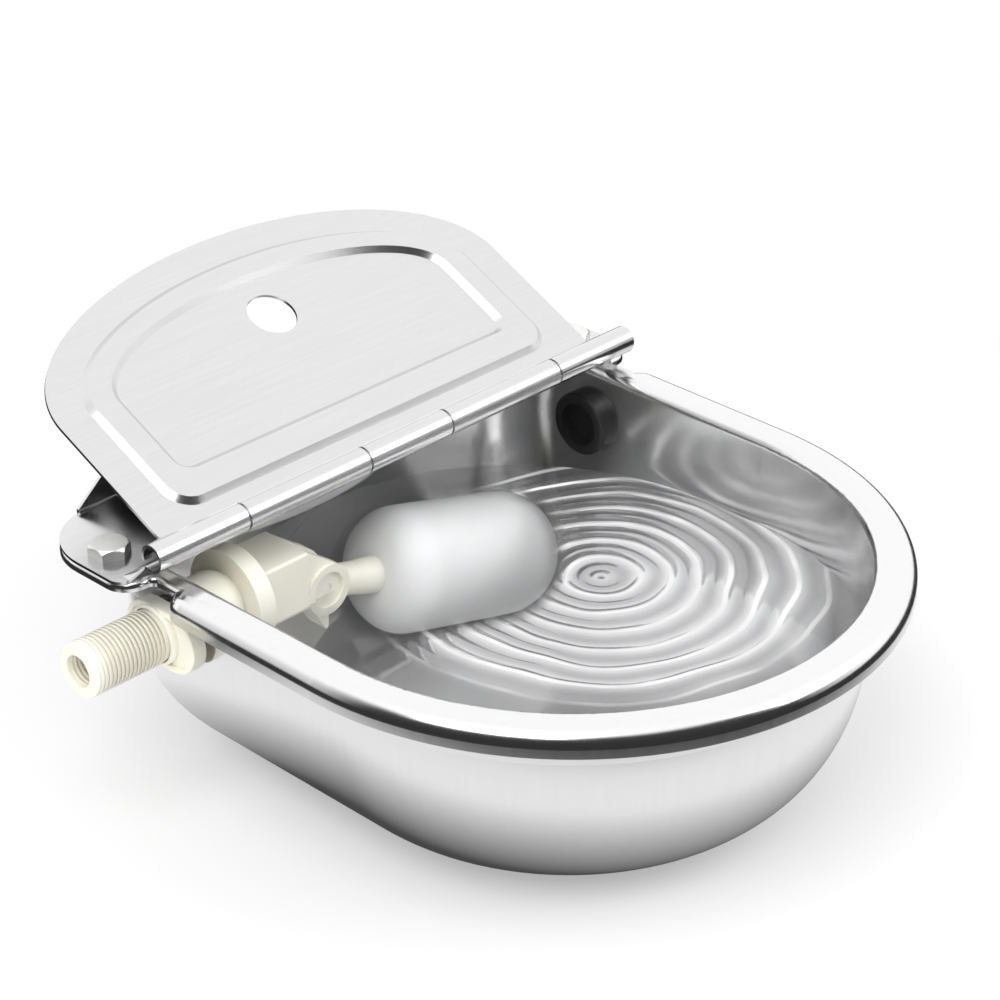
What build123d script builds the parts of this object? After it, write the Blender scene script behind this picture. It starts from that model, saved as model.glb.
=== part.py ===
from build123d import *
import math
import os

# Livestock drinking bowl: a pressed stainless bowl with a bolted hinge plate, a folding cover and a
# half-inch float valve.  Millimetres, +Z up.  The origin is on the base plane, under the centre of the
# round front; +Y runs to the wall side, and the valve comes in from -X.

# --- bowl pressing -------------------------------------------------------------------------------
bowl_height = 93.0            # base underside to the top of the rim
mouth_half_width = 109.0      # inside of the side walls, also the radius of the round front
mouth_back = 133.0            # origin to the inside of the back wall
mouth_corner_radius = 29.0    # inside radius of the two back corners
bowl_sheet = 1.2
wall_draft = 0.03             # side lean, mm for each mm of depth
floor_curve_height = 70.0     # where the walls begin to turn into the floor
floor_curve_reach = 57.0      # how far that turn runs inwards
floor_curve_power = 2.35      # 2 is a plain ellipse, more is a squarer turn
corner_tightening = 0.2       # how fast the back corners tighten towards the floor
lip_radius = 4.0              # rounding between wall and rim, inside
rim_reach = 15.6              # inside of the wall to the outside of the rolled edge
rim_depth = 9.5
rim_round = 6.0
rim_end_setback = 5.2         # hinge axis to where the rolled edge ends, in front of the ears
rim_end_radius = 10.0         # plan rounding of that end
ear_reach = 22.7              # inside of the side wall to the tip of the ear
ear_front_setback = 4.0       # hinge axis to the front of the ear
ear_back_reach = 6.8          # inside of the back wall to the back of the ears
ear_corner_radius = 26.0
ear_front_radius = 9.6
ear_neck_radius = 2.6
ear_lip_depth = 3.5
ear_lip_round = 2.2

# --- hinge plate and cover -----------------------------------------------------------------------
hinge_sheet = 1.2
hinge_pin_diameter = 8.2
hinge_running_gap = 0.05      # radial, between pin and knuckles
hinge_setback = 49.8          # inside of the back wall to the pin's axis
hinge_rise = 9.9              # rim top to the pin's axis
hinge_reach = 13.0            # inside of the side wall to the end of the barrel
outer_knuckle_length = 41.2
inner_gap_x = 21.0
knuckle_gap = 1.0
knuckle_seam_angle = 62.0     # part of the circle that the curl leaves open
hinge_pin_recess = 12.0       # pin end below the end of the barrel
plate_front_setback = 10.8    # hinge axis to the flat's front edge, behind the cover's knuckles
plate_ear_setback = 6.2       # hinge axis to the front of the plate's ear
plate_back_reach = 7.5        # inside of the back wall to the outside of the wall flange
plate_corner_radius = 28.0
plate_front_radius = 4.8
plate_bridge_width = 5.0      # stretched sheet between the barrel's end and the ear
plate_ear_width = 5.0         # end of that bridge to the tip of the ear
plate_bend_radius = 1.5
wall_flange_reach = 0.5       # inside of the side wall to the foot of the flange's slanted end
wall_flange_corner = 4.0
wall_flange_slant = 40.0      # degrees from horizontal
wall_flange_clearance = 0.4   # below the open cover
wall_hole_half_spacing = 60.0
wall_hole_rise = 17.0
wall_hole_diameter = 9.0
plate_bend_start = 3.8        # hinge axis to where the plate's knuckles turn down to the flat
ramp_foot = 10.3              # hinge axis to where that ramp meets the flat
joggle_radius = 3.0
joggle_overlap = 6.0
cover_open_angle = 25.0
cover_overhang = 1.4          # inside of the side wall to the cover's side
cover_straight = 66.0         # hinge axis to the end of the straight sides
cover_length = 120.0          # hinge axis to the tip
cover_setback = 7.5           # hinge axis to the edge between the knuckles
cover_corner = 3.0
bead_height = 2.0
bead_slope = 2.4              # plan width of the bead's sloping sides
bead_side_margin = 13.9       # side of the cover to the foot of the bead
bead_start = 14.0
bead_tip_margin = 13.0        # tip of the cover to the foot of the bead
bead_corner = 12.0
panel_side_margin = 28.4      # side of the cover to the flat panel inside the bead
panel_start = 30.0
panel_tip_margin = 25.5
panel_corner = 5.0
finger_hole_diameter = 20.0
finger_hole_margin = 43.0     # tip of the cover to the middle of the hole

# --- fasteners through the ears, M8 --------------------------------------------------------------
bolt_reach = 10.6             # inside of the side wall to the bolt
bolt_setback = 23.4           # inside of the back wall to the bolt
bolt_diameter = 8.0
bolt_hole_clearance = 0.5
bolt_head_width = 13.6
bolt_head_height = 4.1
washer_diameter = 14.0
washer_thickness = 0.8
nut_height = 4.0
bolt_end_past_nut = 0.8
bolt_turn = 27.0              # degrees, how the hexagons happen to stand

# --- valve ---------------------------------------------------------------------------------------
valve_setback = 43.0          # inside of the back wall to the valve's axis
valve_drop = 25.5             # rim top to the valve's axis
thread_diameter = 20.955      # G 1/2
thread_length = 31.5          # from the tip; the rest of the stem is a little thinner
thread_relief = 0.4
inlet_bore = 12.4
inlet_stick_out = 43.4        # inside of the wall to the tip of the thread
inlet_tip_round = 1.0
wall_hole_gap = 0.4           # radial, inlet thread in the bowl's hole
gasket_thickness = 2.0
gasket_diameter = 34.0
outer_gasket_diameter = 23.0
lock_nut_thickness = 6.0
lock_nut_end_radius = 11.8    # both ends of the oval
lock_nut_short_end = 3.6      # stem's axis to the middle of the rear end
lock_nut_long_end = 9.6       # stem's axis to the middle of the front end
lock_nut_rim = 2.0
lock_nut_recess = 1.5
lock_nut_boss_radius = 11.8
lock_nut_boss_height = 1.2
shoulder_diameter = 35.0
shoulder_thickness = 4.0
hub_diameter = 27.0
hub_length = 18.2             # to where its dome meets the spigot
hub_round = 8.0
cap_gap = 0.2                 # dome to the housing's cap
spigot_diameter = 22.0
spigot_length = 5.8
seat_diameter = 14.0
seat_bore = 5.0
seat_length = 9.0
seat_lip = 1.0                # raised ring that the rubber closes on
seat_lip_width = 1.5
housing_disc_diameter = 39.0
housing_disc_thickness = 8.1
housing_block_side = 24.0
housing_block_length = 21.8
chamber_diameter = 17.0
guide_length = 12.8           # bore that carries the plunger
outlet_width = 12.0
outlet_length = 8.0
cheek_thickness = 5.0
lever_side_gap = 0.3
pivot_distance = 10.6         # end of the block to the lever's pivot
pivot_drop = 33.9             # rim top to the lever's pivot
pivot_pin_diameter = 4.0
pivot_running_gap = 0.05
pivot_boss_radius = 10.2
pivot_boss_ring = 3.0
pivot_boss_height = 1.4
plunger_diameter = 8.0
plunger_running_gap = 0.08
plunger_gap = 0.3             # plunger end to the lever's nose
plunger_seal_diameter = 11.0
plunger_seal_thickness = 3.0
plunger_seal_proud = 1.0
plunger_cup_wall = 1.0
seal_rest_gap = 0.2           # seal to seat with the lever fully up
strainer_length = 16.0
strainer_inset = 26.0
strainer_wall = 0.8
strainer_rim = 1.2

# --- float and lever -----------------------------------------------------------------------------
lever_width = 9.4
lever_hub_radius = 6.0
neck_gap = 0.8                # cheeks to the start of the round neck
lever_over_travel = 0.5       # degrees above horizontal, float up
nose_reach = 3.0
nose_radius = 2.0
fin_drop = 21.0
fin_lean = 5.0
fin_root_drop = 2.0
fin_root_radius = 6.0
neck_drop = 2.4               # the neck's axis runs this far below the pivot
neck_diameter = 12.8
neck_reach = 33.8             # pivot to the end of the socket, where the float begins
socket_diameter = 14.8
socket_length = 12.0
float_diameter = 49.6
float_side_gap = 24.2         # level float to the wall at its far end
float_floor_gap = 3.3         # resting float to the floor, at its far end
float_near_round = 15.0
float_far_round = 24.0
float_wall = 1.6
float_spout_diameter = 9.0
float_spout_length = 11.0
joint_gap = 0.1               # radial, screwed or pushed plastic joints

# --- spare hole and its plug ---------------------------------------------------------------------
spare_hole_drop = 24.0
spare_hole_diameter = 21.0
plug_head_diameter = 26.5
plug_head_length = 5.5
plug_recess_diameter = 18.0
plug_outer_thickness = 2.5
plug_gap = 0.2

# --- worked out from the above -------------------------------------------------------------------
rim_half_width = mouth_half_width + rim_reach
hinge_y = mouth_back - hinge_setback
hinge_z = bowl_height + hinge_rise
rim_back = hinge_y - rim_end_setback
ear_half_span = mouth_half_width + ear_reach
ear_front = hinge_y + ear_front_setback
ear_back = mouth_back + ear_back_reach

hinge_half_length = mouth_half_width + hinge_reach
outer_gap_x = hinge_half_length - outer_knuckle_length - knuckle_gap / 2
hinge_bore_radius = hinge_pin_diameter / 2 + hinge_running_gap
knuckle_radius = hinge_bore_radius + hinge_sheet
curl_radius = hinge_bore_radius + hinge_sheet / 2
plate_top = bowl_height + hinge_sheet
plate_half_span = hinge_half_length + plate_bridge_width + plate_ear_width
plate_front = hinge_y + plate_front_setback
plate_ear_front = hinge_y + plate_ear_setback
plate_back = mouth_back + plate_back_reach
wall_flange_half_width = mouth_half_width + wall_flange_reach
cover_half_width = mouth_half_width + cover_overhang
bolt_x = mouth_half_width + bolt_reach
bolt_y = mouth_back - bolt_setback

wall_half_width = mouth_half_width - wall_draft * (bowl_height - lip_radius - bowl_sheet - floor_curve_height)
valve_y = mouth_back - valve_setback
valve_z = bowl_height - valve_drop
spare_hole_z = bowl_height - spare_hole_drop
inlet_tip_x = -wall_half_width - inlet_stick_out
thread_end = inlet_tip_x + thread_length
nut_x = -wall_half_width - bowl_sheet - gasket_thickness
shoulder_x = gasket_thickness - wall_half_width
hub_x = shoulder_x + shoulder_thickness
hub_end = hub_x + hub_length
spigot_end = hub_end + spigot_length
cap_x = hub_end + cap_gap
housing_disc_x = cap_x + housing_disc_thickness
block_end = housing_disc_x + housing_block_length
chamber_end = block_end - guide_length
pivot_x = block_end + pivot_distance
pivot_z = bowl_height - pivot_drop

float_length = wall_half_width - float_side_gap - pivot_x - neck_reach
float_drop = pivot_z - neck_drop - bowl_sheet - float_floor_gap - float_diameter / 2
lever_rest_angle = math.degrees(math.asin(float_drop / (neck_reach + float_length - float_far_round)))
lever_travel = lever_rest_angle + lever_over_travel
nose_height = valve_z - pivot_z
seal_travel = nose_height * math.radians(lever_travel)
seal_x = spigot_end + seat_lip + seal_rest_gap + seal_travel


def centred(shape, x=0.0, y=0.0, z=0.0, along="Z"):
    """Turn a shape made along +Z to run along an axis, then place it."""
    turn = {"Z": (0, 0, 0), "X": (0, 90, 0), "Y": (-90, 0, 0)}[along]
    return Location((x, y, z), turn) * shape


def disc(radius, start, length, y, z):
    """A cylinder along +X that starts at a given x."""
    return centred(Cylinder(radius, length, align=(Align.CENTER, Align.CENTER, Align.MIN)), start, y, z, "X")


# --- bowl ----------------------------------------------------------------------------------------
def bowl_ring(half_width, back, corner, z):
    """The bowl's plan at one height: round front, straight sides, two back corners."""
    left = -half_width
    side_end = back - corner
    corner_mid = corner * (1 - math.cos(math.radians(45)))
    edges = [
        ThreePointArc((left, 0, z), (0, -half_width, z), (half_width, 0, z)),
        Line((half_width, 0, z), (half_width, side_end, z)),
        ThreePointArc((half_width, side_end, z), (half_width - corner_mid, back - corner_mid, z),
                      (half_width - corner, back, z)),
        Line((half_width - corner, back, z), (corner - half_width, back, z)),
        ThreePointArc((corner - half_width, back, z), (corner_mid - half_width, back - corner_mid, z),
                      (left, side_end, z)),
        Line((left, side_end, z), (left, 0, z)),
    ]
    return Face(Wire(edges))


def bowl_level(inset, out, z):
    """One section: inset from the mouth, then moved out by part of the sheet."""
    corner = mouth_corner_radius - corner_tightening * inset + out
    return bowl_ring(mouth_half_width - inset + out, mouth_back - inset + out, corner, z)


def bowl_levels(sheet, lip):
    """Sections of the inside (sheet 0) or the outside (sheet in full) of the pressing, top to floor."""
    turn_z = bowl_sheet + floor_curve_height
    lip_z = bowl_height - lip_radius
    levels = [[], [], []]
    for step in range(6):
        angle = math.radians(90 * step / 5)
        flare = lip * (1 - math.sin(angle))
        levels[0].append(bowl_level(-flare, sheet, lip_z + lip * math.cos(angle)))
    for z in (lip_z, turn_z):
        levels[1].append(bowl_level(wall_draft * (lip_z - z), sheet, z))
    for step in range(11):
        angle = math.radians(90 * step / 10)
        across = math.cos(angle) ** (2 / floor_curve_power) if step < 10 else 0.0
        down = math.sin(angle) ** (2 / floor_curve_power)
        inset = wall_draft * (lip_z - turn_z) + floor_curve_reach * (1 - across)
        z = turn_z - floor_curve_height * down - sheet * down
        levels[2].append(bowl_level(inset, sheet * across, z))
    return levels


def bowl_body(sheet, lip):
    """The solid inside a set of sections."""
    lip_band, wall_band, floor_band = bowl_levels(sheet, lip)
    body = loft(lip_band) + loft(wall_band, ruled=True)
    return body + loft(floor_band)


def rounded_rim(inset, bottom, top):
    """The rim's block, its top edge rounded all round: the round front, and the sides up to the ears."""
    half_width, back = rim_half_width - inset, rim_back - inset
    edges = [
        ThreePointArc((-half_width, 0), (0, -half_width), (half_width, 0)),
        Line((half_width, 0), (half_width, back)),
        Line((half_width, back), (-half_width, back)),
        Line((-half_width, back), (-half_width, 0)),
    ]
    outline = Face(Wire(edges))
    outline = fillet([v for v in outline.vertices() if v.Y > back - 1], rim_end_radius - inset)
    block = extrude(Location((0, 0, bottom)) * outline, top - bottom)
    return fillet([e for e in block.edges() if abs(e.center().Z - top) < 0.01], rim_round - inset)


def rim_end_corner():
    """What is taken off the rolled edge's lower end, so that it rises in a curve to the ear's lip."""
    rise = rim_depth - ear_lip_depth
    corner = make_face(Polyline((rim_back - rise, 0), (rim_back + 1, 0), (rim_back + 1, rise),
                                (rim_back - rise, rise), close=True))
    corner -= Location((rim_back - rise, rise)) * Circle(rise)
    plane = Plane(origin=(-rim_half_width - 1, 0, bowl_height - rim_depth), x_dir=(0, 1, 0), z_dir=(1, 0, 0))
    return extrude(plane * corner, 2 * rim_half_width + 2)


def ear_outline(half_span, front, back, corner, neck, neck_front, grow):
    """Plan of the flat flange behind the rolled edge, with an ear on each side."""
    points = [(-neck, neck_front), (-neck, front), (-half_span, front), (-half_span, back), (half_span, back),
              (half_span, front), (neck, front), (neck, neck_front)]
    face = make_face(Polyline(*points, close=True))
    face = fillet([v for v in face.vertices() if v.Y > back - 0.01], corner)
    front_points = [v for v in face.vertices() if abs(v.Y - front) < 0.01]
    face = fillet([v for v in front_points if abs(v.X) > neck + 1], ear_front_radius - grow)
    neck_points = [v for v in face.vertices() if abs(v.Y - front) < 0.01 and abs(v.X) < neck + 0.01]
    return fillet(neck_points, ear_neck_radius + grow)


def make_bowl(inside, outside):
    neck = rim_half_width - rim_round
    rim_bottom = bowl_height - rim_depth
    rim = rounded_rim(0, rim_bottom, bowl_height) - rim_end_corner()
    under_rim = rounded_rim(bowl_sheet, rim_bottom - 1, bowl_height - bowl_sheet)
    ears = ear_outline(ear_half_span, ear_front, ear_back, ear_corner_radius, neck, rim_back - 10, 0)
    ears = extrude(Location((0, 0, bowl_height - ear_lip_depth)) * ears, ear_lip_depth)
    top_edges = [e for e in ears.edges() if abs(e.center().Z - bowl_height) < 0.01]
    ears = fillet([e for e in top_edges if e.center().Y > rim_back - 9], ear_lip_round)
    under_ears = ear_outline(ear_half_span - bowl_sheet, ear_front + bowl_sheet, ear_back - bowl_sheet,
                             ear_corner_radius - bowl_sheet, neck - bowl_sheet, rim_back - 11, bowl_sheet)
    under_ears = extrude(Location((0, 0, rim_bottom - 1)) * under_ears, rim_depth + 1 - bowl_sheet)
    flange = rim + ears - under_rim - under_ears - inside
    bowl = flange + (outside - inside)
    bowl -= disc(thread_diameter / 2 + wall_hole_gap, -wall_half_width - 6, 12, valve_y, valve_z)
    bowl -= disc(spare_hole_diameter / 2, wall_half_width - 6, 12, valve_y, spare_hole_z)
    for side in (-1, 1):
        hole = Cylinder(bolt_diameter / 2 + bolt_hole_clearance, 10)
        bowl -= Location((side * bolt_x, bolt_y, bowl_height)) * hole
    return bowl


# --- hinge ---------------------------------------------------------------------------------------
def knuckle_spans():
    """Start and end of the five knuckles along the pin; the odd ones are the hinge plate's."""
    half = knuckle_gap / 2
    stops = [-hinge_half_length - half, -outer_gap_x, -inner_gap_x, inner_gap_x, outer_gap_x,
             hinge_half_length + half]
    return [(stops[i] + half, stops[i + 1] - half) for i in range(5)]


def curl_ring():
    """Edge-on profile of a knuckle round the origin, open behind its lowest point."""
    far = 3 * knuckle_radius
    seam = math.radians(knuckle_seam_angle - 90)
    wedge = make_face(Polyline((0, 0), (0, -far), (far * math.cos(seam), far * math.sin(seam)), close=True))
    return Circle(knuckle_radius) - Circle(hinge_bore_radius) - wedge


def joggle_profile():
    """The plate's sheet in front of its flat: up a ramp, then level to below the pin."""
    half = hinge_sheet / 2
    flat_y, flat_z = plate_front - hinge_y, bowl_height + half - hinge_z
    rise = -curl_radius - flat_z
    ramp_y = ramp_foot - plate_bend_start
    mitre = half * math.tan(math.atan2(rise, ramp_y) / 2)
    top, bottom = half - curl_radius, -half - curl_radius
    points = [(flat_y + joggle_overlap, flat_z + half), (ramp_foot + mitre, flat_z + half),
              (plate_bend_start + mitre, top), (0, top), (0, bottom), (plate_bend_start - mitre, bottom),
              (ramp_foot - mitre, flat_z - half), (flat_y + joggle_overlap, flat_z - half)]
    face = make_face(Polyline(*points, close=True))
    for point, radius in ((points[1], joggle_radius - half), (points[6], joggle_radius + half),
                          (points[2], joggle_radius + half), (points[5], joggle_radius - half)):
        face = fillet(face.vertices().sort_by_distance((*point, 0))[0], radius)
    return face


def along_x(profile, start, end):
    """Extrude a profile drawn in (y, z) from one x to another."""
    plane = Plane(origin=(start, 0, 0), x_dir=(0, 1, 0), z_dir=(1, 0, 0))
    return extrude(plane * profile, end - start)


def wall_flange_top():
    """Height of the wall flange, just under the open cover."""
    angle = math.radians(cover_open_angle)
    under_y = hinge_y + knuckle_radius * math.sin(angle)
    under_z = hinge_z - knuckle_radius * math.cos(angle)
    return under_z + (plate_back - hinge_sheet - under_y) * math.tan(angle) - wall_flange_clearance


def make_wall_flange():
    """The upright part: a flat sheet with two slanted sides."""
    height = wall_flange_top() - bowl_height
    bend = hinge_sheet + plate_bend_radius
    top_half_width = wall_flange_half_width - (height - bend) / math.tan(math.radians(wall_flange_slant))
    points = [(-wall_flange_half_width, 0), (-wall_flange_half_width, bend), (-top_half_width, height),
              (top_half_width, height), (wall_flange_half_width, bend), (wall_flange_half_width, 0)]
    face = make_face(Polyline(*points, close=True))
    face = fillet([v for v in face.vertices() if v.Y > height - 0.01], wall_flange_corner)
    upright = Plane(origin=(0, plate_back, bowl_height), x_dir=(-1, 0, 0), z_dir=(0, 1, 0))
    return extrude(upright * face, -hinge_sheet)


def plate_outline():
    """Plan of the plate's flat: a straight front edge, and an ear that reaches past each end of the barrel."""
    ear_x = hinge_half_length + plate_bridge_width
    points = [(-plate_half_span, plate_ear_front), (-ear_x, plate_ear_front), (-ear_x, plate_front),
              (ear_x, plate_front), (ear_x, plate_ear_front), (plate_half_span, plate_ear_front),
              (plate_half_span, plate_back), (-plate_half_span, plate_back)]
    face = make_face(Polyline(*points, close=True))
    face = fillet([v for v in face.vertices() if v.Y > plate_back - 1], plate_corner_radius)
    tips = [v for v in face.vertices() if abs(v.X) > ear_x + 1 and v.Y < plate_front]
    return fillet(tips, plate_front_radius)


def make_bridge(side):
    """The sheet between one end of the barrel and its ear, drawn down from the ramp's slope to the flat."""
    half = hinge_sheet / 2
    flat_z = bowl_height + half - hinge_z
    back = plate_front_setback + joggle_overlap
    start = side * (hinge_half_length - 0.2)
    end = side * (hinge_half_length + plate_bridge_width + 0.2)
    sections = []
    for x, front_y, front_z in ((start, plate_bend_start, -curl_radius), (end, plate_ear_setback, flat_z)):
        middle = [(back, flat_z), (ramp_foot, flat_z), (front_y, front_z)]
        points = [(y, z + half) for y, z in middle] + [(y, z - half) for y, z in reversed(middle)]
        plane = Plane(origin=(x, hinge_y, hinge_z), x_dir=(0, 1, 0), z_dir=(1, 0, 0))
        sections.append(plane * make_face(Polyline(*points, close=True)))
    return loft(sections, ruled=True)


def make_hinge_plate():
    plate = extrude(Location((0, 0, bowl_height)) * plate_outline(), hinge_sheet) + make_wall_flange()
    bends = [e for e in plate.edges() if e.length > wall_flange_half_width and abs(e.center().X) < 1]
    inner_y = plate_back - hinge_sheet
    inner = [e for e in bends if abs(e.center().Z - plate_top) < 0.01 and abs(e.center().Y - inner_y) < 0.01]
    plate = fillet(inner, plate_bend_radius)
    profile = curl_ring() + joggle_profile()
    for start, end in knuckle_spans()[0::2]:
        plate += Location((0, hinge_y, hinge_z)) * along_x(profile, start, end)
    plate = plate + make_bridge(-1) + make_bridge(1)
    bolt_hole = Cylinder(bolt_diameter / 2 + bolt_hole_clearance, 10)
    wall_hole = Cylinder(wall_hole_diameter / 2, 10, rotation=(90, 0, 0))
    for side in (-1, 1):
        plate -= Location((side * bolt_x, bolt_y, bowl_height)) * bolt_hole
        plate -= Location((side * wall_hole_half_spacing, plate_back, bowl_height + wall_hole_rise)) * wall_hole
    return plate


def half_moon(half_width, start, straight, end, corner):
    """Outline with a straight hinge side, two parallel sides and an elliptical end."""
    edges = [
        Line((half_width, straight), (half_width, start)),
        Line((half_width, start), (-half_width, start)),
        Line((-half_width, start), (-half_width, straight)),
        EllipticalCenterArc((0, straight), half_width, end - straight, 0, arc_size=180),
    ]
    face = make_face(edges)
    return fillet([v for v in face.vertices() if abs(v.Y - start) < 0.01], corner)


def step_block(half_width, start, end, corner, bottom, grow):
    """A low block with sloping sides: the outline grows by a set width over the bead's height."""
    lower = half_moon(half_width, start, cover_straight, end, corner)
    upper = half_moon(half_width + grow, start - grow, cover_straight, end + grow, corner + grow)
    faces = [Location((0, 0, bottom)) * lower, Location((0, 0, bottom + bead_height)) * upper]
    return loft(faces, ruled=True)


def bead_ring(bottom):
    """The raised band of the cover as one solid ring with sloping sides."""
    outer = step_block(cover_half_width - bead_side_margin, bead_start, cover_length - bead_tip_margin,
                       bead_corner, bottom, -bead_slope)
    inner = step_block(cover_half_width - panel_side_margin, panel_start, cover_length - panel_tip_margin,
                       panel_corner, bottom, bead_slope)
    return outer - inner


def make_cover():
    """Drawn with the pin on the X axis and the sheet along +Y, then tilted to its open rest."""
    underside = -knuckle_radius
    outline = half_moon(cover_half_width, cover_setback, cover_straight, cover_length, cover_corner)
    cover = extrude(Location((0, 0, underside)) * outline, hinge_sheet)
    cover = cover + bead_ring(underside + hinge_sheet) - bead_ring(underside)
    cover -= Location((0, cover_length - finger_hole_margin, underside)) * Cylinder(finger_hole_diameter / 2, 20)
    strip_points = [(0, underside), (cover_setback + 1, underside), (cover_setback + 1, underside + hinge_sheet),
                    (0, underside + hinge_sheet)]
    profile = curl_ring() + make_face(Polyline(*strip_points, close=True))
    for start, end in knuckle_spans()[1::2]:
        cover += along_x(profile, start, end)
    return Location((0, hinge_y, hinge_z), (cover_open_angle, 0, 0)) * cover


def make_hinge_pin():
    end = hinge_half_length - hinge_pin_recess
    pin = disc(hinge_pin_diameter / 2, -end, 2 * end, hinge_y, hinge_z)
    return chamfer(pin.edges().filter_by(GeomType.CIRCLE), 0.5)


# --- bolts through the ears ----------------------------------------------------------------------
def upright(radius, bottom, height):
    return Location((0, 0, bottom)) * Cylinder(radius, height, align=(Align.CENTER, Align.CENTER, Align.MIN))


def hexagon(bottom, height, chamfer_size):
    """A hexagonal prism with its upper corners turned off."""
    radius = bolt_head_width / math.sqrt(3)
    prism = extrude(Location((0, 0, bottom)) * RegularPolygon(radius, 6), height)
    turned = upright(radius, bottom, height)
    return prism & chamfer(turned.edges().sort_by(Axis.Z)[-1], chamfer_size)


def make_ear_fasteners(side):
    """Bolt, washer and nut of one ear."""
    washer_bottom = bowl_height - bowl_sheet - washer_thickness
    nut_bottom = washer_bottom - nut_height
    shank_bottom = nut_bottom - bolt_end_past_nut
    shank = upright(bolt_diameter / 2, shank_bottom, plate_top + 1 - shank_bottom)
    shank = chamfer(shank.edges().sort_by(Axis.Z)[0], 0.8)
    bolt = hexagon(plate_top, bolt_head_height, 1.2) + shank
    hole_radius = bolt_diameter / 2 + bolt_hole_clearance
    washer = upright(washer_diameter / 2, washer_bottom, washer_thickness)
    washer -= upright(hole_radius, washer_bottom - 1, washer_thickness + 2)
    nut = hexagon(nut_bottom, nut_height, 0.9)
    nut -= upright(bolt_diameter / 2 + joint_gap, nut_bottom - 1, nut_height + 2)
    place = Location((side * bolt_x, bolt_y, 0), (0, 0, side * bolt_turn))
    return place * bolt, place * washer, place * nut


# --- valve ---------------------------------------------------------------------------------------
def valve_disc(radius, start, end):
    """A cylinder on the valve's axis between two x positions."""
    return disc(radius, start, end - start, valve_y, valve_z)


def make_inlet_nipple():
    """Threaded stem, shoulder against the inner gasket, domed hub, and the spigot of the housing."""
    thread = valve_disc(thread_diameter / 2, inlet_tip_x, thread_end)
    thread = fillet(thread.edges().sort_by(Axis.X)[0], inlet_tip_round)
    dome_drop = spigot_diameter / 2 - hub_diameter / 2 + hub_round
    dome_depth = hub_round - math.sqrt(hub_round ** 2 - dome_drop ** 2)
    hub = valve_disc(hub_diameter / 2, hub_x, hub_end + dome_depth)
    hub = fillet(hub.edges().sort_by(Axis.X)[-1], hub_round)
    nipple = thread + valve_disc(thread_diameter / 2 - thread_relief, thread_end - 1, shoulder_x)
    nipple = nipple + valve_disc(shoulder_diameter / 2, shoulder_x, hub_x) + hub
    nipple += valve_disc(spigot_diameter / 2, hub_x, spigot_end)
    nipple -= valve_disc(inlet_bore / 2, inlet_tip_x - 1, spigot_end + 1)
    return nipple - valve_disc(seat_diameter / 2, spigot_end - seat_length, spigot_end + 1)


def make_inlet_strainer():
    """A slotted thimble in the inlet's mouth."""
    radius = inlet_bore / 2 - joint_gap
    start = inlet_tip_x + strainer_inset
    end = start + strainer_length
    inner = radius - strainer_rim - strainer_wall
    thimble = valve_disc(radius - strainer_rim, start, end) + valve_disc(radius, start, start + 2)
    thimble -= valve_disc(inner, start - 1, end - strainer_wall)
    slot = Box(2.4, 1.6, inlet_bore)
    for row in range(3):
        for turn in range(0, 180, 45):
            thimble -= Location((start + 5 + 4 * row, valve_y, valve_z), (turn, 0, 0)) * slot
    return thimble


def make_valve_seat():
    """A push-in orifice with a raised lip for the rubber."""
    radius = seat_diameter / 2 - joint_gap
    seat = valve_disc(radius, spigot_end - seat_length, spigot_end)
    seat += valve_disc(seat_bore / 2 + seat_lip_width, spigot_end - 1, spigot_end + seat_lip)
    return seat - valve_disc(seat_bore / 2, spigot_end - seat_length - 1, spigot_end + seat_lip + 1)


def make_gasket(diameter):
    """A ring round the inlet from the lock nut to the shoulder; the bowl's wall is taken out of it later."""
    bore_radius = thread_diameter / 2 + wall_hole_gap
    return valve_disc(diameter / 2, nut_x, shoulder_x) - valve_disc(bore_radius, nut_x - 1, shoulder_x + 1)


def make_lock_nut():
    """Nut outside the wall: an oval dish with a raised edge round a threaded boss, longer to the front."""
    front = nut_x - lock_nut_thickness
    plane = Plane(origin=(front, valve_y, valve_z), x_dir=(0, 1, 0), z_dir=(1, 0, 0))
    ovals = []
    for inset in (0, lock_nut_rim):
        end = Circle(lock_nut_end_radius - inset)
        front_end = Location((-lock_nut_long_end, 0)) * end
        rear_end = Location((lock_nut_short_end, 0)) * end
        ovals.append(make_hull([*front_end.edges(), *rear_end.edges()]))
    nut = extrude(plane * ovals[0], lock_nut_thickness)
    nut = fillet([e for e in nut.edges() if abs(e.center().X - front) < 0.01], 0.8)
    nut -= extrude(plane * ovals[1], lock_nut_recess)
    boss = valve_disc(lock_nut_boss_radius, front - lock_nut_boss_height, nut_x)
    nut += fillet(boss.edges().sort_by(Axis.X)[0], 1.0)
    return nut - valve_disc(thread_diameter / 2 + joint_gap, front - 9, nut_x + 9)


def make_cheeks():
    """Two cheeks that taper from the block to a round boss with a raised ring."""
    inner = lever_width / 2 + lever_side_gap
    half = housing_block_side / 2 - 1
    root = Location((block_end - pivot_x, valve_z - pivot_z)) * Rectangle(2, 2 * half)
    web = make_hull([*Circle(pivot_boss_radius).edges(), *root.edges()])
    plane = Plane(origin=(pivot_x, valve_y, pivot_z), x_dir=(1, 0, 0), z_dir=(0, -1, 0))
    ring = Circle(pivot_boss_radius) - Circle(pivot_boss_radius - pivot_boss_ring)
    outer = inner + cheek_thickness
    pair = []
    for side in (-1, 1):
        face = plane.offset(side * inner)
        rim = plane.offset(side * outer)
        pair.append(extrude(face * web, side * cheek_thickness) + extrude(rim * ring, side * pivot_boss_height))
    return pair[0] + pair[1]


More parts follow.
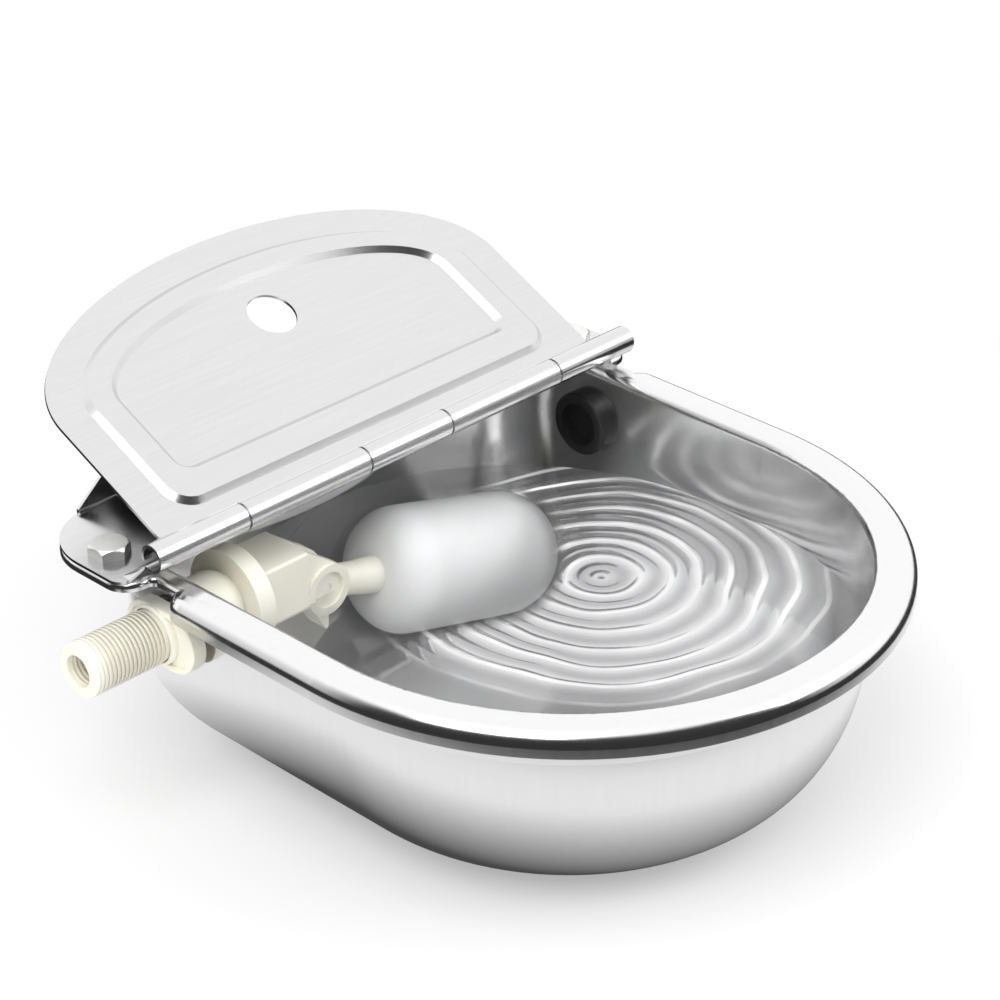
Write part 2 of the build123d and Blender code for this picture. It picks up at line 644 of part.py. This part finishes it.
def make_valve_housing():
    """Round cap on the spigot, square block with the plunger's bore, and cheeks for the lever."""
    cap_radius = housing_disc_diameter / 2
    socket_radius = spigot_diameter / 2 + joint_gap
    cap = valve_disc(cap_radius, cap_x, housing_disc_x)
    cap = fillet(cap.edges().sort_by(Axis.X)[-1], 1.0)
    block = Box(block_end - housing_disc_x + 2, housing_block_side, housing_block_side,
                align=(Align.MAX, Align.CENTER, Align.CENTER))
    block = fillet(block.edges().filter_by(Axis.X), 1.2)
    housing = cap + Location((block_end, valve_y, valve_z)) * block + make_cheeks()
    housing -= valve_disc(socket_radius, cap_x - 1, spigot_end)
    housing -= valve_disc(chamber_diameter / 2, spigot_end - 1, chamber_end)
    housing -= valve_disc(plunger_diameter / 2 + plunger_running_gap, chamber_end - 1, block_end + 1)
    outlet = Box(outlet_length, outlet_width, housing_block_side, align=(Align.MAX, Align.CENTER, Align.MAX))
    housing -= Location((chamber_end, valve_y, valve_z)) * outlet
    pivot_hole = Cylinder(pivot_pin_diameter / 2 + pivot_running_gap, 60)
    return housing - centred(pivot_hole, pivot_x, valve_y, pivot_z, "Y")


def make_plunger():
    """Rod, with a cup on the seat side that holds the rubber."""
    cup_start = seal_x + plunger_seal_proud
    cup_end = seal_x + plunger_seal_thickness + plunger_cup_wall
    end = pivot_x - nose_reach - nose_radius - plunger_gap
    rod = valve_disc(plunger_diameter / 2, cup_end - 0.5, end)
    rod = fillet(rod.edges().sort_by(Axis.X)[-1], 1.0)
    cup = valve_disc(plunger_seal_diameter / 2 + plunger_cup_wall, cup_start, cup_end)
    return rod + cup - valve_disc(plunger_seal_diameter / 2, cup_start - 1, seal_x + plunger_seal_thickness)


def make_plunger_seal():
    return valve_disc(plunger_seal_diameter / 2 - joint_gap, seal_x, seal_x + plunger_seal_thickness)


def make_pivot_pin():
    length = lever_width + 2 * (lever_side_gap + cheek_thickness)
    pin = Cylinder(pivot_pin_diameter / 2, length)
    pin = chamfer(pin.edges().filter_by(GeomType.CIRCLE), 0.3)
    return centred(pin, pivot_x, valve_y, pivot_z, "Y")


# --- lever and float -----------------------------------------------------------------------------
def at_pivot(shape):
    """Turn a shape drawn on the neck's axis, measured from the pivot, down to the lever's rest angle."""
    shape = Location((0, 0, -neck_drop)) * shape
    return Location((pivot_x, valve_y, pivot_z), (0, lever_rest_angle, 0)) * shape


def make_float_lever():
    """Hub with a nose for the plunger, a stop fin below, and the round neck with its socket."""
    plane = Plane(origin=(pivot_x, valve_y + lever_width / 2, pivot_z), x_dir=(1, 0, 0), z_dir=(0, -1, 0))
    nose_tip = Location((-nose_reach, nose_height)) * Circle(nose_radius)
    nose = make_hull([*nose_tip.edges(), *Circle(lever_hub_radius / 2).edges()])
    fin_tip = Location((fin_lean - 1, 1 - fin_drop)) * Circle(1)
    fin_root = Location((0, -fin_root_drop)) * Circle(fin_root_radius)
    fin = make_hull([*fin_tip.edges(), *fin_root.edges()])
    lever = extrude(plane * (Circle(lever_hub_radius) + nose + fin), lever_width)
    neck_start = pivot_boss_radius + neck_gap
    socket_start = neck_reach - socket_length
    arm = Box(neck_start + 1, lever_width, neck_diameter, align=(Align.MIN, Align.CENTER, Align.CENTER))
    arm += disc(neck_diameter / 2, neck_start, socket_start - neck_start, 0, 0)
    arm += loft([Plane.YZ.offset(socket_start) * Circle(neck_diameter / 2),
                 Plane.YZ.offset(neck_reach) * Circle(socket_diameter / 2)])
    lever += at_pivot(arm)
    lever -= at_pivot(disc(float_spout_diameter / 2 + joint_gap, neck_reach - float_spout_length, 60, 0, 0))
    hole = Cylinder(pivot_pin_diameter / 2 + pivot_running_gap, 60)
    return lever - centred(hole, pivot_x, valve_y, pivot_z, "Y")


def make_float():
    """Sealed hollow float with a spout that goes into the lever's socket."""
    skins = []
    for inset in (0, float_wall):
        skin = disc(float_diameter / 2 - inset, neck_reach + inset, float_length - 2 * inset, 0, 0)
        ends = skin.edges().filter_by(GeomType.CIRCLE).sort_by(Axis.X)
        skin = fillet(ends[0], float_near_round - inset)
        ends = skin.edges().filter_by(GeomType.CIRCLE).sort_by(Axis.X)
        skins.append(fillet(ends[-1], float_far_round - inset))
    spout = disc(float_spout_diameter / 2, neck_reach - float_spout_length, float_spout_length + 0.5, 0, 0)
    return at_pivot(skins[0] - skins[1] + spout)


# --- plug of the spare hole ----------------------------------------------------------------------
def plug_disc(radius, start, end):
    """A cylinder on the spare hole's axis, measured from the outside of the wall."""
    outside_x = wall_half_width + bowl_sheet
    return disc(radius, outside_x + start, end - start, valve_y, spare_hole_z)


def make_spare_hole_plug(inside, outside):
    """A rubber cup inside the wall, a thin flange outside and a neck through the hole."""
    head_start = -bowl_sheet - plug_head_length
    head = plug_disc(plug_head_diameter / 2, head_start, 0)
    head = fillet(head.edges().sort_by(Axis.X)[0], 1.5) & inside
    flange = plug_disc(plug_head_diameter / 2, -bowl_sheet - 2, plug_outer_thickness)
    flange = fillet(flange.edges().sort_by(Axis.X)[-1], 1.0) - outside
    neck = plug_disc(spare_hole_diameter / 2 - plug_gap, -bowl_sheet - 2, 1)
    recess = plug_disc(plug_recess_diameter / 2, head_start - 1, -bowl_sheet)
    return head + flange + neck - recess


bowl_inside = bowl_body(0.0, lip_radius)
bowl_outside = bowl_body(bowl_sheet, lip_radius - bowl_sheet)
parts = {
    "bowl": make_bowl(bowl_inside, bowl_outside),
    "hinge_plate": make_hinge_plate(),
    "hinge_pin": make_hinge_pin(),
    "cover_plate": make_cover(),
    "lock_nut": make_lock_nut(),
    "outer_gasket": make_gasket(outer_gasket_diameter) - bowl_outside,
    "inner_gasket": make_gasket(gasket_diameter) & bowl_inside,
    "inlet_nipple": make_inlet_nipple(),
    "inlet_strainer": make_inlet_strainer(),
    "valve_seat": make_valve_seat(),
    "valve_housing": make_valve_housing(),
    "plunger": make_plunger(),
    "plunger_seal": make_plunger_seal(),
    "pivot_pin": make_pivot_pin(),
    "float_lever": make_float_lever(),
    "float": make_float(),
    "spare_hole_plug": make_spare_hole_plug(bowl_inside, bowl_outside),
}
for side, name in ((-1, "left"), (1, "right")):
    bolt, washer, nut = make_ear_fasteners(side)
    parts["ear_bolt_" + name] = bolt
    parts["ear_washer_" + name] = washer
    parts["ear_nut_" + name] = nut

os.makedirs("parts", exist_ok=True)
for name, shape in parts.items():
    export_step(shape, "parts/" + name + ".step")
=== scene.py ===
import math

import bpy
from mathutils import Matrix, Vector

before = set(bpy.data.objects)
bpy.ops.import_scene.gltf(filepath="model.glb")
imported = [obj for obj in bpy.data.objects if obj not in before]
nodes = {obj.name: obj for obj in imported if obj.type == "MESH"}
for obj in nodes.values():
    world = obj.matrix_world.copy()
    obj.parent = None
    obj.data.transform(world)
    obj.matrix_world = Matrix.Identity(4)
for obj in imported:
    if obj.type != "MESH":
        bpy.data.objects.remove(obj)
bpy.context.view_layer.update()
print("frame loaded:", len(nodes), "CAD nodes")


class Wire:  # a socket that can be used in sums
    def __init__(self, mat, socket):
        self.mat = mat
        self.socket = socket

    def calc(self, operation, *others):
        return self.mat.add("ShaderNodeMath", {"operation": operation}, self, *others)

    def __add__(self, other): return self.calc("ADD", other)
    def __radd__(self, other): return self.calc("ADD", other)
    def __sub__(self, other): return self.calc("SUBTRACT", other)
    def __rsub__(self, other): return self.mat.add("ShaderNodeMath", {"operation": "SUBTRACT"}, other, self)
    def __mul__(self, other): return self.calc("MULTIPLY", other)
    def __rmul__(self, other): return self.calc("MULTIPLY", other)
    def __truediv__(self, other): return self.calc("DIVIDE", other)
    def __pow__(self, other): return self.calc("POWER", other)


class Finish:  # the nodes of one material, or of the world
    def __init__(self, owner, output="ShaderNodeOutputMaterial"):
        owner.use_nodes = True
        self.owner = owner
        self.tree = owner.node_tree
        self.tree.nodes.clear()
        self.output = self.tree.nodes.new(output)

    def add(self, kind, settings, *values, out=0, **named):
        made = self.tree.nodes.new(kind)
        for key, value in settings.items():
            if key == "stops":
                self.setStops(made.color_ramp, value)
            else:
                setattr(made, key, value)
        for place, value in list(enumerate(values)) + list(named.items()):
            socket = made.inputs[place if isinstance(place, int) else place.replace("_", " ")]
            if isinstance(value, Wire):
                self.tree.links.new(value.socket, socket)
            elif value is not None:
                socket.default_value = value
        return Wire(self, made.outputs[out])

    def setStops(self, ramp, stops):  # each stop is a place from 0 to 1 and a grey
        while len(ramp.elements) < len(stops):
            ramp.elements.new(0.5)
        for element, (place, shade) in zip(ramp.elements, stops):
            element.position = place
            element.color = (shade, shade, shade, 1)

    def place(self, move=(0, 0, 0), turn=(0, 0, 0), scale=(1, 1, 1)):
        coords = self.add("ShaderNodeTexCoord", {}, out="Object")
        return self.add("ShaderNodeMapping", {}, coords, move, turn, scale)

    def noise(self, scale, detail, rough, stretch=(1, 1, 1)):
        return self.add("ShaderNodeTexNoise", {"normalize": True}, self.place(scale=stretch),
                        Scale=scale, Detail=detail, Roughness=rough)

    def axes(self, spot):  # the X, Y and Z of a place
        made = self.add("ShaderNodeSeparateXYZ", {}, spot).socket.node
        return [Wire(self, socket) for socket in made.outputs]

    def reach(self, centre):  # distance from a point
        spot = self.place(move=[-value for value in centre])
        return self.add("ShaderNodeVectorMath", {"operation": "LENGTH"}, spot, out="Value")

    def ramp(self, value, *stops):
        return self.add("ShaderNodeValToRGB", {"stops": stops}, value)

    def blendColor(self, factor, first, second):
        made = self.tree.nodes.new("ShaderNodeMix")
        made.data_type = "RGBA"
        self.tree.links.new(factor.socket, made.inputs[0])
        for place, value in ((6, first), (7, second)):
            if isinstance(value, Wire):
                self.tree.links.new(value.socket, made.inputs[place])
            else:
                made.inputs[place].default_value = (*value, 1)
        return Wire(self, made.outputs[2])

    def blendShader(self, factor, first, second):
        return self.add("ShaderNodeMixShader", {}, factor, first, second)

    def bump(self, height, distance, normal=None):
        return self.add("ShaderNodeBump", {}, Distance=distance, Height=height, Normal=normal)

    def glow(self, strength):
        return self.add("ShaderNodeEmission", {}, (1, 1, 1, 1), strength)

    def rayIs(self, kind):
        return self.add("ShaderNodeLightPath", {}, out=f"Is {kind} Ray")

    def surface(self, **inputs):
        self.finish(self.add("ShaderNodeBsdfPrincipled", {}, **inputs))

    def finish(self, shader):
        self.tree.links.new(shader.socket, self.output.inputs["Surface"])


def steelFinish(name, look):  # satin stainless with fine rolled grain and soft smears
    mat = Finish(bpy.data.materials.new(name))
    grain = mat.noise(look["grainScale"], 4.0, 0.6, look["grainStretch"])
    smear = mat.noise(look["smearScale"], 3.0, 0.5)
    speck = mat.noise(900.0, 2.0, 0.5)
    tone = 0.5 + (grain - 0.5) * look["grainTone"] + (smear - 0.5) * look["smearTone"]
    color = mat.blendColor(tone, look["dark"], look["light"])
    rough = look["roughness"] + (smear - 0.5) * look["smearRough"]
    rough = rough + (grain - 0.5) * look["grainRough"]
    relief = mat.bump(grain * 0.7 + speck * 0.3, look["bump"])
    mat.surface(Base_Color=color, Metallic=1.0, Roughness=rough, Normal=relief)
    return mat.owner


def plasticFinish(name, look):  # moulded plastic: faint clouding, shallow orange peel
    mat = Finish(bpy.data.materials.new(name))
    cloud = mat.noise(look["cloudScale"], 3.0, 0.5)
    peel = mat.noise(look["peelScale"], 2.0, 0.5)
    color = mat.blendColor(cloud, look["dark"], look["light"])
    rough = look["roughness"] + (peel - 0.5) * look["peelRough"]
    relief = mat.bump(peel, look["bump"])
    if "thread" in look:
        groove = threadGroove(mat, look["thread"])
        relief = mat.bump(groove, look["thread"]["depth"], relief)
        # the grooves are also painted darker: painted shade in the thread's recesses
        color = mat.blendColor(groove * look["thread"]["paintedShading"], color, look["thread"]["shade"])
    mat.surface(Base_Color=color, Roughness=rough, Normal=relief,
                Subsurface_Weight=look["subsurface"], Subsurface_Radius=(0.004, 0.003, 0.002),
                Subsurface_Scale=1.0)
    return mat.owner


def threadGroove(mat, thread):  # a helix round the supply stem that runs out at both ends
    x, y, z = mat.axes(mat.place(move=thread["axis"]))
    turn = z.calc("ARCTAN2", y) / (2 * math.pi)
    groove = (x / thread["pitch"] + turn).calc("PINGPONG", 0.5) * 2
    tip, end = thread["ends"]
    fade = mat.ramp((x - tip) / (end - tip), *thread["fade"])
    return mat.ramp(groove, *thread["flank"]) * fade


ivoryLook = {
    "cloudScale": 45.0, "peelScale": 700.0, "dark": (0.94, 0.90, 0.76), "light": (0.98, 0.96, 0.87),
    "roughness": 0.34, "peelRough": 0.12, "bump": 0.00004, "subsurface": 0.25,
}
threadLook = {
    "axis": (0, -0.09, -0.0675), "pitch": 0.001814, "depth": 0.0007,
    "ends": (-0.1515, -0.1204),  # X of the tip and of the last turn
    "fade": ((0.0, 0.0), (0.25, 1.0), (0.97, 1.0), (1.0, 0.0)),
    # the share and colour of the painted shade in the thread's grooves
    "flank": ((0.15, 0.0), (0.75, 1.0)), "paintedShading": 0.35, "shade": (0.62, 0.52, 0.34),
}
finishes = {
    "bowl": steelFinish("bowlSteel", {
        "grainScale": 420.0, "grainStretch": (1, 1, 0.05), "smearScale": 14.0,
        "grainTone": 0.35, "smearTone": 0.2, "dark": (0.72, 0.72, 0.72), "light": (0.86, 0.86, 0.86),
        "roughness": 0.19, "smearRough": 0.04, "grainRough": 0.04, "bump": 0.000004}),
    "cover": steelFinish("coverSteel", {
        "grainScale": 700.0, "grainStretch": (0.04, 1, 1), "smearScale": 7.0,
        "grainTone": 0.4, "smearTone": 0.2, "dark": (0.58, 0.58, 0.58), "light": (0.76, 0.76, 0.76),
        "roughness": 0.25, "smearRough": 0.03, "grainRough": 0.04, "bump": 0.000002}),
    "plate": steelFinish("plateSteel", {
        "grainScale": 520.0, "grainStretch": (0.05, 1, 1), "smearScale": 20.0,
        "grainTone": 0.4, "smearTone": 0.4, "dark": (0.58, 0.58, 0.59), "light": (0.80, 0.80, 0.80),
        "roughness": 0.20, "smearRough": 0.05, "grainRough": 0.04, "bump": 0.000004}),
    "fastener": steelFinish("fastenerSteel", {
        "grainScale": 700.0, "grainStretch": (1, 1, 1), "smearScale": 120.0,
        "grainTone": 0.5, "smearTone": 0.7, "dark": (0.66, 0.66, 0.65), "light": (0.90, 0.90, 0.88),
        "roughness": 0.36, "smearRough": 0.12, "grainRough": 0.06, "bump": 0.00003}),
    "brass": steelFinish("seatBrass", {
        "grainScale": 500.0, "grainStretch": (1, 1, 1), "smearScale": 120.0,
        "grainTone": 0.6, "smearTone": 0.6, "dark": (0.55, 0.42, 0.20), "light": (0.80, 0.66, 0.36),
        "roughness": 0.3, "smearRough": 0.1, "grainRough": 0.1, "bump": 0.00003}),
    "ivory": plasticFinish("ivoryPlastic", ivoryLook),
    "thread": plasticFinish("threadedPlastic", {**ivoryLook, "thread": threadLook}),
    "float": plasticFinish("floatPlastic", {
        "cloudScale": 30.0, "peelScale": 500.0, "dark": (0.84, 0.84, 0.83), "light": (0.93, 0.93, 0.92),
        "roughness": 0.5, "peelRough": 0.12, "bump": 0.00004, "subsurface": 0.3}),
    "rubber": plasticFinish("blackRubber", {
        "cloudScale": 80.0, "peelScale": 900.0, "dark": (0.010, 0.010, 0.010), "light": (0.028, 0.028, 0.028),
        "roughness": 0.45, "peelRough": 0.12, "bump": 0.00006, "subsurface": 0.0}),
}
nodeFinish = {  # bolts, washers and nuts take the fasteners' finish
    "bowl": "bowl", "cover_plate": "cover", "hinge_plate": "plate", "hinge_pin": "plate",
    "inlet_nipple": "thread", "inlet_strainer": "ivory", "lock_nut": "ivory",
    "valve_housing": "ivory", "plunger": "ivory", "pivot_pin": "ivory", "float_lever": "ivory",
    "float": "float", "valve_seat": "brass", "plunger_seal": "rubber",
    "outer_gasket": "rubber", "inner_gasket": "rubber", "spare_hole_plug": "rubber",
}
for name, node in nodes.items():
    node.data.materials.clear()
    node.data.materials.append(finishes[nodeFinish.get(name, "fastener")])
print("finishes made")


# the water lies in the bowl as a stage piece: rings round one point, clear where the float dips; the rings
# carry painted shade and painted highlight, with glowing crest lines
water = {
    "level": 0.057, "halfWidth": 0.1077, "front": -0.1077, "back": 0.1320,
    "frontRound": 0.1070, "backRound": 0.028, "cornerSteps": 32,
    "ringCentre": (0.036, 0.016), "ringGap": 0.0118, "ringSway": 0.010,
    "ringFade": ((0.0, 0.6), (0.012, 1.0), (0.074, 1.0), (0.092, 0.0)),  # by distance from the centre
    "sharpness": 5.0, "troughSharpness": 12.0, "troughShare": 0.35,
    # the ring crests are glowing lines of painted highlight; these stops shape them and break them up
    "paintedGlint": ((0.50, 0.0), (0.86, 1.0)), "paintedGlintBreaks": ((0.36, 0.25), (0.56, 1.0)),
    "floatSlant": 44.2, "floatTurn": -99.8, "floatSqueeze": 0.484, "floatShift": (-0.0391, 0.0312),
    "floatHalf": 0.0190, "floatEdge": ((0.0232, 0.0), (0.0245, 1.0)),
    "cover": 0.80, "edgeCover": 0.35, "bump": 0.0005,
    # dark and light here are the painted shade and painted highlight of the ring bands
    "dark": (0.50, 0.50, 0.51), "light": (0.82, 0.82, 0.83), "metal": 0.7, "roughness": 0.06,
}


def floatGap(mat):  # 0 over the float, 1 away from it, in the shape of a slanted capsule
    spot = mat.place(turn=(0, 0, math.radians(-water["floatSlant"])))
    spot = mat.add("ShaderNodeMapping", {}, spot, (*water["floatShift"], 0),
                   (0, 0, math.radians(water["floatTurn"])), (water["floatSqueeze"], 1, 1))
    along, across = mat.axes(spot)[:2]
    along = (along.calc("ABSOLUTE") - water["floatHalf"]).calc("MAXIMUM", 0.0)
    return mat.ramp((along * along + across * across) ** 0.5, *water["floatEdge"])


def makeWaterFinish():
    mat = Finish(bpy.data.materials.new("water"))
    reach = mat.reach((*water["ringCentre"], water["level"]))
    sway = mat.noise(14.0, 2.0, 0.45)
    broken = mat.noise(26.0, 2.0, 0.5)
    wave = (reach + (sway - 0.5) * (water["ringSway"] * 2)) * (2 * math.pi / water["ringGap"])
    wave = wave.calc("SINE") * 0.5 + 0.5
    trough = (1 - wave) ** water["troughSharpness"] * water["troughShare"]
    ridge = wave ** water["sharpness"] + trough  # a tall thin ring, then a low one
    rings = mat.ramp(reach, *water["ringFade"])
    shown = floatGap(mat)
    strength = rings * shown
    # painted highlight: a glowing line along each ring crest, broken up by noise
    paintedGlint = mat.ramp(ridge, *water["paintedGlint"]) * mat.ramp(broken, *water["paintedGlintBreaks"]) * strength
    cover = (water["edgeCover"] + rings * (water["cover"] - water["edgeCover"])) * shown
    relief = mat.bump(ridge * strength * (0.3 + broken), water["bump"])
    # painted shade and painted highlight: the water's colour goes darker and lighter with the wave phase
    paintedShading = mat.blendColor(wave * rings, water["dark"], water["light"])
    mirror = mat.add("ShaderNodeBsdfPrincipled", {}, Base_Color=paintedShading, Metallic=water["metal"],
                     Roughness=water["roughness"], Normal=relief)
    clear = mat.add("ShaderNodeBsdfTransparent", {}, (1, 1, 1, 1))
    mat.finish(mat.blendShader(paintedGlint, mat.blendShader(cover, clear, mirror), mat.glow(1.0)))
    return mat.owner


def makeWater():
    bpy.ops.object.select_all(action="DESELECT")
    middle = (water["front"] + water["back"]) / 2
    bpy.ops.mesh.primitive_plane_add(size=1, location=(0, middle, water["level"]))
    pool = bpy.context.object
    pool.name = "waterSurface"
    pool.scale = (2 * water["halfWidth"], water["back"] - water["front"], 1)
    bpy.ops.object.transform_apply(location=True, rotation=True, scale=True)
    for end, size in (("front", water["frontRound"]), ("back", water["backRound"])):
        for corner in pool.data.vertices:
            corner.select = abs(corner.co.y - water[end]) < 1e-5
        bpy.ops.object.mode_set(mode="EDIT")
        bpy.ops.mesh.select_mode(type="VERT")
        bpy.ops.mesh.bevel(offset=size, segments=water["cornerSteps"], affect="VERTICES")
        bpy.ops.mesh.select_all(action="DESELECT")
        bpy.ops.object.mode_set(mode="OBJECT")
    pool.data.materials.append(makeWaterFinish())
    print("water laid")


camera = {
    "eye": (-0.68228, -0.63060, 0.62409), "right": (0.6974, -0.7167, 0.0),
    "up": (0.3470, 0.3377, 0.8750), "lens": 108.01, "clip": (0.01, 50),
}


def makeCamera():
    right, up = Vector(camera["right"]).normalized(), Vector(camera["up"]).normalized()
    back = right.cross(up).normalized()
    up = back.cross(right)
    data = bpy.data.cameras.new("studioCamera")
    data.lens = camera["lens"]
    data.clip_start, data.clip_end = camera["clip"]
    view = bpy.data.objects.new("studioCamera", data)
    bpy.context.scene.collection.objects.link(view)
    turn = Matrix((right, up, back)).transposed().to_4x4()
    view.matrix_world = Matrix.Translation(camera["eye"]) @ turn
    bpy.context.scene.camera = view


lamps = {
    "keyLamp": {"spot": (-0.9, -0.3, 1.5), "size": (1.2, 1.2), "power": 15},
    "fillLamp": {"spot": (0.9, -1.1, 1.1), "size": (1.0, 1.0), "power": 7},
}
lampTarget = (0, 0, 0.05)


def makeLamp(name, lamp):
    data = bpy.data.lights.new(name, "AREA")
    data.shape = "RECTANGLE"
    data.size, data.size_y = lamp["size"]
    data.energy = lamp["power"]
    light = bpy.data.objects.new(name, data)
    bpy.context.scene.collection.objects.link(light)
    light.location = lamp["spot"]
    light.rotation_mode = "QUATERNION"
    aim = Vector(lampTarget) - Vector(lamp["spot"])
    light.rotation_quaternion = aim.to_track_quat("-Z", "Y")


# the room is white to the eye and plain light on matt things; in metal its near side is dark
room = {
    "plainLight": 0.80, "glossLight": 1.2, "shade": 0.03, "darkSide": (-0.68, -0.73, 0.0),
    "sideEdge": ((0.425, 0.0), (0.675, 1.0)),  # from 0 behind the bowl to 1 on the dark side
    "ceiling": ((0.66, 1.0), (0.84, 0.0)),  # by height, from 0 level to 1 overhead
}


def makeRoom():
    world = bpy.data.worlds.new("studioWorld")
    bpy.context.scene.world = world
    sky = Finish(world, "ShaderNodeOutputWorld")
    way = sky.add("ShaderNodeTexCoord", {}, out="Generated")
    facing = sky.add("ShaderNodeVectorMath", {"operation": "DOT_PRODUCT"}, way,
                     Vector(room["darkSide"]).normalized(), out="Value")
    height = sky.axes(way)[2]
    shaded = sky.ramp(facing * 0.5 + 0.5, *room["sideEdge"]) * sky.ramp(height, *room["ceiling"])
    white, dark, plain, backdrop = [
        sky.add("ShaderNodeBackground", {}, (1, 1, 1, 1), Strength=strength)
        for strength in (room["glossLight"], room["shade"], room["plainLight"], 1.0)]
    metalView = sky.blendShader(shaded, white, dark)
    lit = sky.blendShader(sky.rayIs("Glossy"), plain, metalView)
    sky.finish(sky.blendShader(sky.rayIs("Camera"), lit, backdrop))


floor = {
    "size": 6.0, "drop": 0.0002, "paint": (0.95, 0.95, 0.95, 1), "centre": (0, 0.02, 0),
    "whiten": ((0.14, 0.35), (0.42, 1.0)),  # by distance: the shadow stays near the bowl only
    "paintedReflection": ((0.095, 0.04), (0.125, 0.45), (0.165, 1.0), (0.228, 1.0), (0.256, 0.0)),  # as metal sees it: a painted shadow near the bowl, a painted dark band far out, white between
}


def makeFloor():
    bpy.ops.object.select_all(action="DESELECT")
    bpy.ops.mesh.primitive_plane_add(size=floor["size"], location=(0, 0, -floor["drop"]))
    ground = bpy.context.object
    ground.name = "studioFloor"
    mat = Finish(bpy.data.materials.new("studioFloor"))
    paint = mat.add("ShaderNodeBsdfDiffuse", {}, floor["paint"])
    glow = mat.glow(1.0)
    reach = mat.reach(floor["centre"])
    white = mat.blendShader(mat.ramp(reach, *floor["whiten"]) * mat.rayIs("Camera"), paint, glow)
    # painted reflection: glossy rays see a painted shadow round the bowl and a painted dark band beyond
    paintedReflection = mat.blendShader(mat.ramp(reach, *floor["paintedReflection"]), mat.glow(room["shade"]), glow)
    mat.finish(mat.blendShader(mat.rayIs("Glossy"), white, paintedReflection))
    ground.data.materials.append(mat.owner)


makeWater()
makeCamera()
makeRoom()
makeFloor()
for name, lamp in lamps.items():
    makeLamp(name, lamp)
bpy.context.scene.view_settings.view_transform = "Standard"
print("studio set")
